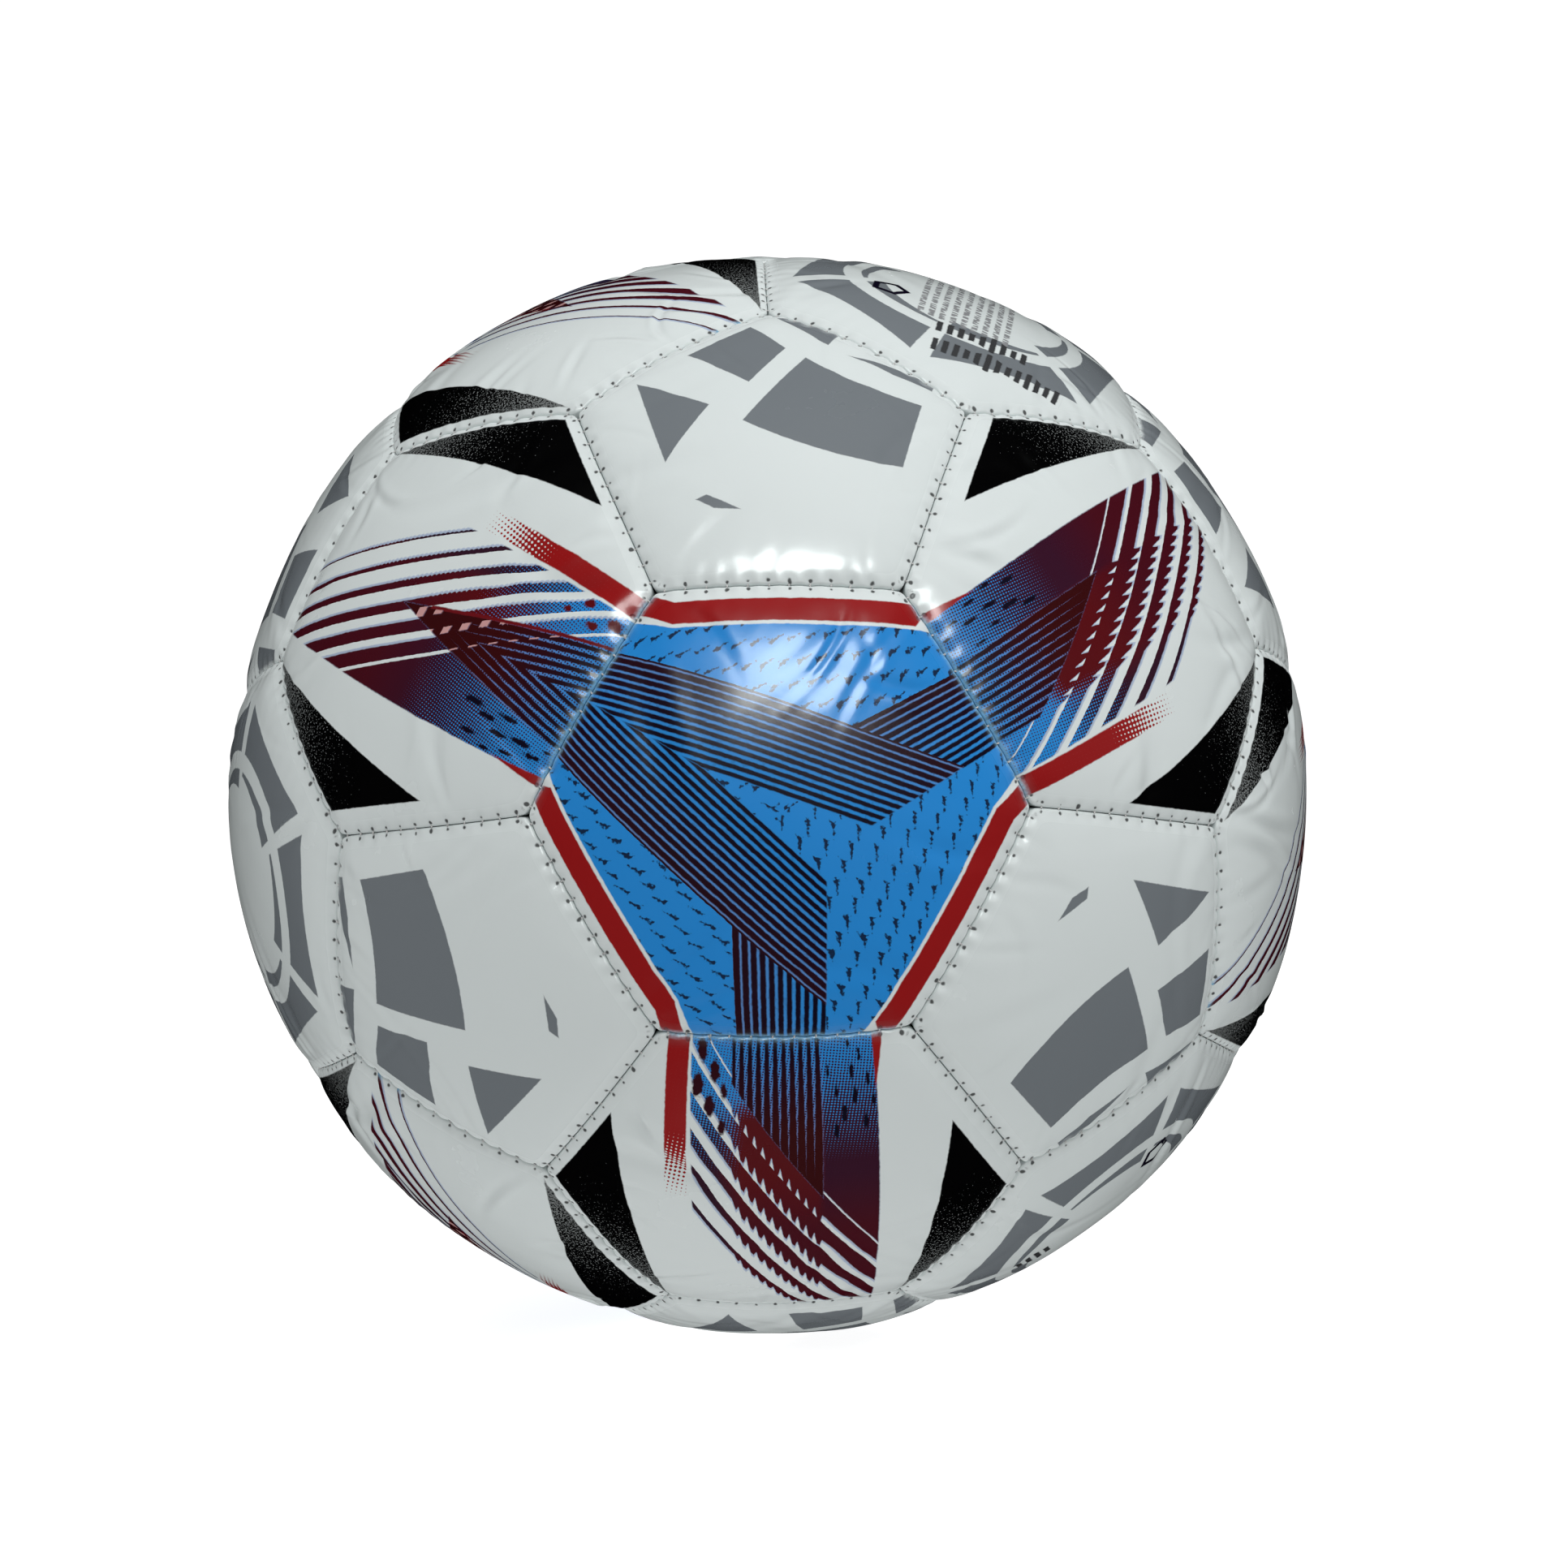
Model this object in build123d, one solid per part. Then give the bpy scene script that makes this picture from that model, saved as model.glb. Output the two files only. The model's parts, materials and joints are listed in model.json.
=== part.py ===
from build123d import *
import os
from itertools import combinations, permutations
from math import asin, atan, atan2, cos, degrees, pi, sin, sqrt, tan

# A size 5 soccer ball of the classic pattern: 20 hexagons and 12 pentagons sewn edge to edge.
# Millimetres. The origin is the ball's centre, -Y faces the front star panel and +Z is up.

# ---- driving dimensions ----
BALL_RADIUS = 110.0          # 691 mm round, inside the 680 to 700 mm of a size 5 ball
COVER_THICKNESS = 1.1        # coated synthetic leather
FOAM_THICKNESS = 2.0
LINING_THICKNESS = 0.9       # woven cloth laminated behind the foam
BLADDER_THICKNESS = 0.8
GLUE_LINE = 0.05             # left between laminated layers
SEAM_HALF_GAP = 0.05         # between a panel's turned-in edge and the middle of the seam
EDGE_ROUND = 2.0             # roll of the cover where it turns into the seam
THREAD_RADIUS = 0.3
THREAD_DEPTH = 0.9           # middle of the thread, below the ball's surface
THREAD_END_GAP = 1.0         # thread kept back from the corner where three seams meet

VALVE_AXIS = Vector(0, 1, 0)
STEM_RADIUS = 3.0
STEM_LENGTH = 15.0
STEM_DROP = 0.5              # the valve's face sits a little below the cover
STEM_PLAY = 0.1              # between the stem and the holes that it passes
FLANGE_RADIUS = 12.0
FLANGE_THICKNESS = 1.0
CORE_RADIUS = 2.0
CORE_LENGTH = 12.0
CORE_PLAY = 0.02
CORE_RIB = 0.35              # ring that keeps the core from being pushed out
NEEDLE_RADIUS = 1.1
NEEDLE_DEPTH = 9.0
PATCH_RADIUS = 18.0
PATCH_THICKNESS = 0.4
PATCH_PLAY = 0.05

NEIGHBOURS = 0.4             # two icosahedron corners side by side have a larger cosine than this
FIRST_EMBLEM = Vector(0.36, -0.33, 0.87)

# ---- radii of the layers, from outside to inside ----
FOAM_OUTER = BALL_RADIUS - COVER_THICKNESS - GLUE_LINE
FOAM_INNER = FOAM_OUTER - FOAM_THICKNESS
LINING_OUTER = FOAM_INNER - GLUE_LINE
LINING_INNER = LINING_OUTER - LINING_THICKNESS
BLADDER_OUTER = LINING_INNER - 2 * GLUE_LINE
BLADDER_INNER = BLADDER_OUTER - BLADDER_THICKNESS
PAD_HALF_GAP = SEAM_HALF_GAP + COVER_THICKNESS + GLUE_LINE


# ---- the pattern of panels ----
def icosahedron_corners():
    """Directions of the twelve pentagon centres, with a face's centre at -Y and its first corner above."""
    golden = (1 + sqrt(5)) / 2
    corners = []
    for a in (-1, 1):
        for b in (-golden, golden):
            corners += [Vector(0, a, b), Vector(a, b, 0), Vector(b, 0, a)]
    face = faces_of([c.normalized() for c in corners])[0]
    back = sum(face, Vector()).normalized() * -1
    up = (face[0] - back * face[0].dot(back)).normalized()
    right = back.cross(up)
    return [Vector(c.dot(right), c.dot(back), c.dot(up)).normalized() for c in corners]


def faces_of(corners):
    """Every three corners of the icosahedron that are side by side."""
    threes = combinations(corners, 3)
    return [t for t in threes if all(a.dot(b) > NEIGHBOURS for a, b in combinations(t, 2))]


def seam_corner(near, far):
    """Where three panels meet: a third of the way from one icosahedron corner to the next."""
    return (near * 2 + far).normalized()


def nearest(direction, choices, count):
    return sorted(choices, key=lambda c: -c.dot(direction))[:count]


def in_turn(directions, axis, start):
    """Sorts directions by their turn about an axis, beginning at start."""
    zero = (start - axis * start.dot(axis)).normalized()
    side = axis.cross(zero)
    return sorted(directions, key=lambda d: round(degrees(atan2(d.dot(side), d.dot(zero)))) % 360)


PENTAGONS = icosahedron_corners()
FACES = faces_of(PENTAGONS)
HEXAGONS = [sum(face, Vector()).normalized() for face in FACES]
SEAM_CORNERS = [seam_corner(a, b) for a, b in permutations(PENTAGONS, 2) if a.dot(b) > NEIGHBOURS]
A_CORNER = seam_corner(FACES[0][0], FACES[0][1])
CORNER_ANGLES = {6: asin(A_CORNER.cross(HEXAGONS[0]).length), 5: asin(A_CORNER.cross(FACES[0][0]).length)}
SEAM_ARC = A_CORNER.get_angle(seam_corner(FACES[0][1], FACES[0][0]))


def star_centres():
    """Four hexagons as far apart as can be: the front one, and those opposite the front three emblems."""
    emblems = [FIRST_EMBLEM.rotate(Axis.Y, turn) for turn in (0, 120, 240)]
    opposite = [nearest(emblem * -1, HEXAGONS, 1)[0] for emblem in emblems]
    return nearest(Vector(0, -1, 0), HEXAGONS, 1) + opposite


# ---- one panel and its backing, built round +Z ----
def wedge(sides, half_gap):
    """The pyramid that a panel's seams cut from the ball, each side moved in by half_gap."""
    corner_slope = tan(CORNER_ANGLES[sides])
    side_tilt = atan(corner_slope * cos(pi / sides))
    apex = half_gap / sin(side_tilt)
    turns = [i * 360 / sides for i in range(sides)]
    rings = []
    for z in (BALL_RADIUS * 0.6, BALL_RADIUS * 1.2):
        r = (z - apex) * corner_slope
        rings.append([Vector(r, 0, z).rotate(Axis.Z, turn) for turn in turns])
    bottom, top = rings
    faces = [Face(Wire.make_polygon(ring)) for ring in rings]
    for i in range(sides):
        j = (i + 1) % sides
        faces.append(Face(Wire.make_polygon([bottom[i], bottom[j], top[j], top[i]])))
    return Solid(Shell(faces))


def ball(radius):
    """A sphere whose poles and seam line are away from +Z."""
    return Rotation(0, 90, 0) * Sphere(radius)


def cover(sides):
    """The outer skin, rolled over at its edges and turned in along every seam."""
    block = wedge(sides, SEAM_HALF_GAP) & ball(BALL_RADIUS)
    rim = block.edges().filter_by(lambda e: abs(e.center().length - BALL_RADIUS) < COVER_THICKNESS)
    block = fillet(rim, EDGE_ROUND)
    room = wedge(sides, SEAM_HALF_GAP + COVER_THICKNESS) & ball(BALL_RADIUS - COVER_THICKNESS)
    return block - room - ball(LINING_INNER)


def pad(sides, outer, inner):
    """One backing layer, inside the cover's turned-in edges."""
    return wedge(sides, PAD_HALF_GAP) & (ball(outer) - ball(inner))


def place(panel, centre, corner):
    """Turns a panel from +Z to its own place, its first corner towards a seam corner."""
    return Plane(origin=(0, 0, 0), x_dir=corner, z_dir=centre) * panel


# ---- the seams ----
def seams():
    """The ends of every seam: those between two hexagons, then those round the pentagons."""
    edges = [pair for pair in combinations(PENTAGONS, 2) if pair[0].dot(pair[1]) > NEIGHBOURS]
    between_hexagons = [(seam_corner(a, b), seam_corner(b, a)) for a, b in edges]
    around_pentagons = []
    for face in FACES:
        for i, near in enumerate(face):
            left, right = face[i - 1], face[i - 2]
            around_pentagons.append((seam_corner(near, left), seam_corner(near, right)))
    return between_hexagons, around_pentagons


def strand(start, end):
    """The sewing thread of one seam, lying in the groove from one seam corner to the next."""
    run_radius = BALL_RADIUS - THREAD_DEPTH
    end_turn = degrees(THREAD_END_GAP / run_radius)
    section = Plane(origin=(run_radius, 0, 0), x_dir=(1, 0, 0), z_dir=(0, 1, 0)) * Circle(THREAD_RADIUS)
    thread = Rotation(0, 0, end_turn) * revolve(section, Axis.Z, SEAM_ARC - 2 * end_turn)
    return Plane(origin=(0, 0, 0), x_dir=start, z_dir=start.cross(end)) * thread


# ---- the bladder and its valve, built with the valve along +Z ----
def rod(radius, top, length):
    return Pos(0, 0, top - length / 2) * Cylinder(radius, length)


def cap(outer, inner, radius):
    """A round piece cut from a thin layer of the ball."""
    return (ball(outer) - ball(inner)) & rod(radius, outer + 1, outer / 2)


STEM_TOP = BALL_RADIUS - STEM_DROP
STEM_HOLE = rod(STEM_RADIUS + STEM_PLAY, BALL_RADIUS + 1, 2 * STEM_LENGTH)
RIB_HEIGHT = 4 * CORE_RIB
RIB_TOP = STEM_TOP - CORE_LENGTH * 0.6


def valve_housing():
    """The rubber boss bonded to the bladder, with a socket for the core and an air hole at its foot."""
    flange_outer = BLADDER_INNER - GLUE_LINE
    flange = cap(flange_outer, flange_outer - FLANGE_THICKNESS, FLANGE_RADIUS)
    housing = rod(STEM_RADIUS, STEM_TOP, STEM_LENGTH) + flange
    socket = rod(CORE_RADIUS + CORE_PLAY, STEM_TOP + 1, CORE_LENGTH + 1 + CORE_PLAY)
    groove = rod(CORE_RADIUS + CORE_RIB + CORE_PLAY, RIB_TOP + CORE_PLAY, RIB_HEIGHT + 2 * CORE_PLAY)
    air_hole = rod(NEEDLE_RADIUS, STEM_TOP, 2 * STEM_LENGTH)
    return housing - socket - groove - air_hole


def valve_core():
    """The self-sealing plug, with the needle's passage closed at its foot."""
    core = rod(CORE_RADIUS, STEM_TOP, CORE_LENGTH) + rod(CORE_RADIUS + CORE_RIB, RIB_TOP, RIB_HEIGHT)
    return core - rod(NEEDLE_RADIUS, STEM_TOP, NEEDLE_DEPTH)


def bladder():
    return ball(BLADDER_OUTER) - ball(BLADDER_INNER) - STEM_HOLE


def valve_patch():
    return cap(LINING_INNER + PATCH_THICKNESS, LINING_INNER, PATCH_RADIUS) - STEM_HOLE


def patch_pocket():
    """The shallow place behind the lining where the patch lies."""
    return cap(LINING_INNER + PATCH_THICKNESS + PATCH_PLAY, LINING_INNER - 1, PATCH_RADIUS + PATCH_PLAY)


# ---- the assembly ----
def named_panels():
    """Every panel's name, centre and first corner, grouped round the four star panels."""
    panels = []
    letters = "abc"
    for number, star in enumerate(star_centres(), start=1):
        arms = nearest(star, [h for h in HEXAGONS if h.dot(star) < 0.99], 3)
        pentagons = nearest(star, PENTAGONS, 3)
        arms = in_turn(arms, star, pentagons[0])
        pentagons = in_turn(pentagons, star, pentagons[0])
        emblem = nearest(star * -1, HEXAGONS, 1)[0]
        panels.append((f"star_panel_{number}", star))
        panels.append((f"emblem_panel_{number}", emblem))
        panels += [(f"arm_panel_{number}{letter}", arm) for letter, arm in zip(letters, arms)]
        panels += [(f"pentagon_panel_{number}{letter}", pent) for letter, pent in zip(letters, pentagons)]
    return panels


def build():
    """Every node's shape, by name."""
    covers = {n: cover(n) for n in (6, 5)}
    foam = {n: pad(n, FOAM_OUTER, FOAM_INNER) for n in (6, 5)}
    lining = {n: pad(n, LINING_OUTER, LINING_INNER) for n in (6, 5)}
    to_valve = Rotation(-90, 0, 0)
    stem_hole = to_valve * STEM_HOLE
    pocket = to_valve * patch_pocket()
    nodes = {}
    foam_pads = {6: [], 5: []}
    linings = {6: [], 5: []}
    for name, centre in named_panels():
        sides = 5 if name.startswith("pentagon") else 6
        corner = nearest(centre, SEAM_CORNERS, 1)[0]
        pieces = [place(shape[sides], centre, corner) for shape in (covers, foam, lining)]
        if centre.dot(VALVE_AXIS) > 0.99:
            pieces = [piece - stem_hole for piece in pieces]
            pieces[2] = pieces[2] - pocket
        nodes[name] = pieces[0]
        foam_pads[sides].append(pieces[1])
        linings[sides].append(pieces[2])
    between_hexagons, around_pentagons = seams()
    nodes["hexagon_foam_pads"] = Compound(children=foam_pads[6])
    nodes["pentagon_foam_pads"] = Compound(children=foam_pads[5])
    nodes["hexagon_linings"] = Compound(children=linings[6])
    nodes["pentagon_linings"] = Compound(children=linings[5])
    nodes["thread_between_hexagons"] = Compound(children=[strand(*ends) for ends in between_hexagons])
    nodes["thread_around_pentagons"] = Compound(children=[strand(*ends) for ends in around_pentagons])
    nodes["bladder"] = to_valve * bladder()
    nodes["valve_patch"] = to_valve * valve_patch()
    nodes["valve_housing"] = to_valve * valve_housing()
    nodes["valve_core"] = to_valve * valve_core()
    return nodes


os.makedirs("parts", exist_ok=True)
for node, shape in build().items():
    export_step(shape, f"parts/{node}.step")
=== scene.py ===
import json
import math
from itertools import combinations

import bpy
import numpy as np
from mathutils import Matrix, Vector

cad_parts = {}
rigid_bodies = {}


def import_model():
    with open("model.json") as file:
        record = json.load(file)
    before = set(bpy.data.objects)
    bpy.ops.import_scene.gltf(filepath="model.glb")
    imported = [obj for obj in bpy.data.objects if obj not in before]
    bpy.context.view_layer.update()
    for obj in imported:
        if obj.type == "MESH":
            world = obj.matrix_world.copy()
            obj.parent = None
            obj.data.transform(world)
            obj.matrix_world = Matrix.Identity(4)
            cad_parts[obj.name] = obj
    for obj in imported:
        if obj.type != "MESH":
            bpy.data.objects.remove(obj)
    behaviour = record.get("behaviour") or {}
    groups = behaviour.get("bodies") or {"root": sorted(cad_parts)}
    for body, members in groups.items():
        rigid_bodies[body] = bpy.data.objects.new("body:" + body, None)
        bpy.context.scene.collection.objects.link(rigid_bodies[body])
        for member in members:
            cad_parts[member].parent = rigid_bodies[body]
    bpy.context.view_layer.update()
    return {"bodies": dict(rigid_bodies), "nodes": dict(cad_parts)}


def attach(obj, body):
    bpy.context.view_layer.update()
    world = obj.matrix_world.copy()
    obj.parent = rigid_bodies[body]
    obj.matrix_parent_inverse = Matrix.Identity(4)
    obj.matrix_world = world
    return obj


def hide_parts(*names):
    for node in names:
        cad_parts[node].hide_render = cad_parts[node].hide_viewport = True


# A soccer ball with a sewn cover of 20 hexagons and 12 pentagons. Shapes are worked out in
# millimetres from the ball's centre and written to the meshes in metres.

MM = 0.001
BALL_RADIUS = 110.0
SKIN = 1.12  # cover thickness, to the side that lies on the foam
HEM_RADIUS = 105.9  # how deep the cover's turned-in edges reach
HEM_LEVELS = (0, 0.8, 1.6)  # heights above that of the rings of points on such an edge
ROLL = 0.55  # radius of the cover's roll into the seam
ROLL_RINGS = 7
SAG = 1.5  # how far the cover sinks towards its seams
SAG_REACH = 4.2  # over which distance
SEAM_HALF_GAP = 0.05
CORNER_BLEND = 0.55  # how softly two seams' rolls meet at a corner
FAR = 30.0  # distance from a seam at which it no longer changes anything
POINTS_PER_SEAM = 96
STITCHES = 12  # along each seam
STITCH_REACH = 0.62  # from the seam to where a stitch goes into the cover
STITCH_RADIUS = 0.16
STEM_HOLE = 3.15  # radius of the cover's hole round the valve
STEM_RINGS = 6  # of points that lead from the panel's outline to the round hole
FOAM_INNER = 106.85  # radius of the foam's inner side
FOAM_RIM = 1.25  # from the seam to the foam's edge
FOAM_STEP = 4  # the foam takes every fourth point of the cover's rings
GLUE_LINE = 0.05
NEIGHBOURS = 0.4  # two icosahedron corners side by side have a larger cosine
UV_SCALE = 0.455  # of the texture square, from a panel's middle to its corners
BACK_UV = (0.055, 0.045)  # middle and reach of the panel's hidden side in that square

# Seed and length of the smooth random waves that vary the cover over the whole ball.
PULL_WAVES = (5, 9)
SAG_WAVES = (6, 34)
SWELL_WAVES = (7, 26)
DENT_WAVES = (8, 9)
RIPPLE_WAVES = (9, 5)
WARP_SEEDS = (11, 12, 13)
WARP_LENGTH = 75

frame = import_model()
SCENE = bpy.context.scene


def unit(v):
    return v / np.linalg.norm(v, axis=-1, keepdims=True)


# ---- the pattern of panels ----
def icosahedron():
    """The twelve pentagon centres, with a face's centre at -Y and a corner above it."""
    golden = (1 + math.sqrt(5)) / 2
    corners = []
    for a in (-1, 1):
        for b in (-golden, golden):
            corners += [(0, a, b), (a, b, 0), (b, 0, a)]
    corners = unit(np.array(corners, float))
    face = corners[list(faces_of(corners)[0])]
    back = -unit(face.sum(0))
    up = unit(face[0] - back * (face[0] @ back))
    right = np.cross(back, up)
    return corners @ np.array([right, back, up]).T


def faces_of(corners):
    """The triangles of an icosahedron, as numbers of its corners."""
    near = corners @ corners.T > NEIGHBOURS
    threes = combinations(range(len(corners)), 3)
    return [t for t in threes if near[t[0], t[1]] and near[t[1], t[2]] and near[t[0], t[2]]]


PENTAGONS = icosahedron()
HEXAGONS = unit(np.array([PENTAGONS[list(t)].sum(0) for t in faces_of(PENTAGONS)]))
ONE_CORNER = unit(PENTAGONS[faces_of(PENTAGONS)[0][0]] * 2 + PENTAGONS[faces_of(PENTAGONS)[0][1]])


def corner_angle(centres):
    return math.acos(max(centres @ ONE_CORNER))


CORNER_ANGLE = {6: corner_angle(HEXAGONS), 5: corner_angle(PENTAGONS)}


def nearest(direction, choices, count=1):
    """The choices closest to a direction, the closest first."""
    return choices[np.argsort(-(choices @ direction), kind="stable")[:count]]


def node_direction(name):
    """The way from the ball's centre to a CAD piece."""
    points = frame["nodes"][name].data.vertices
    co = np.zeros(len(points) * 3)
    points.foreach_get("co", co)
    return unit(co.reshape(-1, 3).mean(0))


def panel_axes(centre, towards):
    """Right, up and outward directions of a panel, up being the way to another direction."""
    up = unit(towards - centre * (towards @ centre))
    return np.array([np.cross(up, centre), up, centre])


# ---- one panel's shape, built round +Z with +Y up ----
def waves(points, seed, length, count=7):
    """A smooth random number at every point, mostly -1 to 1, varying over that length."""
    rng = np.random.default_rng(seed)
    total = np.zeros(points.shape[:-1])
    for _ in range(count):
        direction = unit(rng.normal(size=3)) * 2 * math.pi / (length * rng.uniform(0.7, 1.4))
        total += np.sin(points @ direction + rng.uniform(0, 2 * math.pi))
    return total / math.sqrt(count)


class PanelShape:
    """Rings of directions that follow a panel's outline inward, with their distance to the seams."""

    def __init__(self, sides):
        self.sides = sides
        self.slope = math.tan(CORNER_ANGLE[sides])
        first = 0 if sides == 6 else math.pi / 2
        turns = first + np.arange(sides) * 2 * math.pi / sides
        flat = np.stack([np.cos(turns), np.sin(turns)], 1) * self.slope
        self.corners = unit(np.concatenate([flat, np.ones((sides, 1))], 1))
        self.normals = unit(np.cross(self.corners, np.roll(self.corners, -1, 0)))
        self.arc = math.acos(self.corners[0] @ self.corners[1])
        share = np.arange(POINTS_PER_SEAM) / POINTS_PER_SEAM
        edge = [self.on_seam(i, share) for i in range(sides)]
        rim = np.concatenate(edge)
        self.rim = rim / rim[:, 2:]
        roll = np.linspace(0, math.pi / 2, ROLL_RINGS + 1)[:-1]
        roll_rings = ROLL * (1 - np.cos(roll))
        inset = self.inradius() * BALL_RADIUS
        bands = [np.arange(ROLL, 5, 0.4), np.arange(5, 16, 0.8), np.arange(16, inset - 1, 1.5)]
        self.distances = np.concatenate([roll_rings] + bands)
        self.outer = self.rings(self.distances)
        self.inner_distances = np.array([1.1, 2.5, 6, 12, 20, inset - 4])
        self.inner = self.rings(self.inner_distances)

    def inradius(self):
        """Angle from the panel's middle to the middle of a side."""
        return math.asin(self.normals[0] @ np.array([0, 0, 1]))

    def on_seam(self, i, share):
        """Directions at those shares of the way along a side."""
        a, b = self.corners[i], self.corners[(i + 1) % self.sides]
        side = unit(b - a * (a @ b))
        angle = share[:, None] * self.arc
        return a * np.cos(angle) + side * np.sin(angle)

    def seam_distances(self, q):
        """Distance in millimetres to each of the panel's seams."""
        return np.arcsin(np.clip(q @ self.normals.T, -1, 1)) * BALL_RADIUS - SEAM_HALF_GAP

    def blended(self, q):
        """Distance to the nearest seam, smoothed where two seams are about as near."""
        d = self.seam_distances(q)
        low = d.min(-1, keepdims=True)
        return low[..., 0] - CORNER_BLEND * np.log(np.exp((low - d) / CORNER_BLEND).sum(-1))

    def rings(self, distances):
        """Closed rings of directions at those distances from the seams, found by halving."""
        low = np.zeros((len(distances), len(self.rim)))
        high = np.ones_like(low)
        centre = np.array([0, 0, 1.0])
        for _ in range(34):
            mid = (low + high) / 2
            q = unit(centre + mid[..., None] * (self.rim - centre))
            inside = self.blended(q) > np.asarray(distances)[:, None]
            low = np.where(inside, mid, low)
            high = np.where(inside, high, mid)
        return unit(centre + low[..., None] * (self.rim - centre))

    def stitch_number(self, q):
        """Place along the nearest seam, counted in stitches."""
        near = self.seam_distances(q).argmin(-1)
        a = self.corners[near]
        b = self.corners[(near + 1) % self.sides]
        side = unit(b - a * (a * b).sum(-1, keepdims=True))
        angle = np.arctan2((q * side).sum(-1), (q * a).sum(-1))
        return angle / self.arc * STITCHES


SHAPES = {sides: PanelShape(sides) for sides in (6, 5)}


def roll_drop(distance):
    """How far the cover is below the ball's surface, at that distance from a seam."""
    inside = np.clip(ROLL - distance, 0, ROLL)
    return ROLL - np.sqrt(ROLL ** 2 - inside ** 2)


def creases(points, distance, sides, seed, rumple):
    """Fine folds that run inward from the seams, as depth below the surface."""
    rng = np.random.default_rng(seed)
    depth = np.zeros(points.shape[:-1])
    flat = points[..., :2]
    reach = BALL_RADIUS * math.sin(CORNER_ANGLE[sides])
    for k in range(2 * sides + 8):
        size = 1.7 if k < sides else 1.0
        turn = rng.uniform(0, 2 * math.pi)
        start = np.array([math.cos(turn), math.sin(turn)]) * reach * rng.uniform(0.72, 0.86)
        lean = turn + rng.normal(0, 0.5)
        way = -np.array([math.cos(lean), math.sin(lean)])
        length = rng.uniform(6, 22) * size
        bend = rng.normal(0, 0.022)
        away = flat - start
        ahead = away @ way
        across = away @ np.array([-way[1], way[0]]) - bend * ahead ** 2
        fade = np.exp(-((ahead - length / 3) / (length / 2)) ** 2)
        width = rng.uniform(0.8, 1.7) * size
        line = np.exp(-(across / width) ** 2) - 0.6 * np.exp(-((across - 1.7 * width) / width) ** 2)
        depth += rng.uniform(0.08, 0.30) * rumple * size * fade * line
    return depth * np.clip((distance - 1.0) / 3, 0, 1)


def seam_depth(points):
    """How far the cover is sunk at a seam, a little different from place to place."""
    return SAG * (1 + 0.14 * waves(points, *SAG_WAVES))


def surface_drop(shape, q, distance, world, seed, rumple):
    """All that shapes the cover's outside: the roll, its puckers at the stitches, folds and swelling."""
    pull = 0.5 - np.cos(2 * math.pi * shape.stitch_number(q)) * 0.5
    pull = pull * (1 + 0.35 * waves(world, *PULL_WAVES))
    puckers = 0.20 * pull * np.exp(-((distance - 0.7) / 0.9) ** 2)
    ripples = 0.12 * pull * np.exp(-distance / 2.6)
    ripples += 0.05 * waves(world, *RIPPLE_WAVES) * np.exp(-distance / 7)
    sag = seam_depth(world) * np.exp(-distance / SAG_REACH)
    uneven = 0.07 * waves(world, *SWELL_WAVES) + 0.012 * waves(world, *DENT_WAVES)
    uneven = uneven * np.clip(distance / 5, 0, 1)
    folds = creases(q * BALL_RADIUS, distance, shape.sides, seed, rumple)
    return roll_drop(distance) + puckers + ripples + sag + uneven + folds


def warp(points):
    """Hand-made unevenness of the whole ball, shared by the panels and the stitches."""
    shift = [waves(points, seed, WARP_LENGTH) for seed in WARP_SEEDS]
    from_valve = np.linalg.norm(points - np.array([0, BALL_RADIUS, 0]), axis=-1)
    fade = np.clip((from_valve - 9) / 22, 0, 1)[..., None]
    return points + 0.42 * fade * np.stack(shift, -1)


# ---- meshes ----
def finish_mesh(name, points, faces):
    """A smooth object from points in millimetres."""
    mesh = bpy.data.meshes.new(name)
    mesh.from_pydata((np.asarray(points) * MM).tolist(), [], faces)
    mesh.polygons.foreach_set("use_smooth", [True] * len(mesh.polygons))
    obj = bpy.data.objects.new(name, mesh)
    SCENE.collection.objects.link(obj)
    return obj


def ring_quads(a, b, count):
    """Quads between ring a and ring b, which lies inside it or below it."""
    return [(a + i, a + (i + 1) % count, b + (i + 1) % count, b + i) for i in range(count)]


def write_uv(mesh, name, values):
    layer = mesh.uv_layers.new(name=name)
    index = np.zeros(len(mesh.loops), int)
    mesh.loops.foreach_get("vertex_index", index)
    layer.data.foreach_set("uv", np.asarray(values)[index].astype(np.float32).ravel())


def backing_radius(shape):
    """Radius of the cover's inner side at each of its inner rings."""
    return BALL_RADIUS - SKIN - 0.95 * SAG * np.exp(-shape.inner_distances / SAG_REACH)


def build_pads(name, places):
    """Foam behind each panel, thinner near the seams where the cover presses on it."""
    points = []
    faces = []
    for shape, axes, hole in places:
        rings = np.concatenate([shape.rings([FOAM_RIM]), shape.inner[1:]])[:, ::FOAM_STEP]
        count = rings.shape[1]
        if hole:
            rings[-1] = valve_rim(rings[-1], hole)
        outer = [ring * (level - GLUE_LINE) for ring, level in zip(rings, backing_radius(shape))]
        inner = [ring * FOAM_INNER for ring in rings]
        base = sum(len(p) for p in points)
        order = outer[::-1] + inner
        points.append(np.concatenate(order) @ axes)
        for k in range(len(order) - 1):
            faces += ring_quads(base + (k + 1) * count, base + k * count, count)
        last = base + (len(order) - 1) * count
        if hole:
            faces += ring_quads(base, last, count)
        else:
            faces.append(tuple(base + i for i in range(count)))
            faces.append(tuple(last + i for i in reversed(range(count))))
    return finish_mesh(name, warp(np.concatenate(points)), faces)


def valve_rim(ring, hole):
    """A round ring of the same number of points, about the valve."""
    flat = unit(ring[:, :2]) * hole
    return unit(np.concatenate([flat, np.full((len(ring), 1), BALL_RADIUS)], 1))


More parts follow.
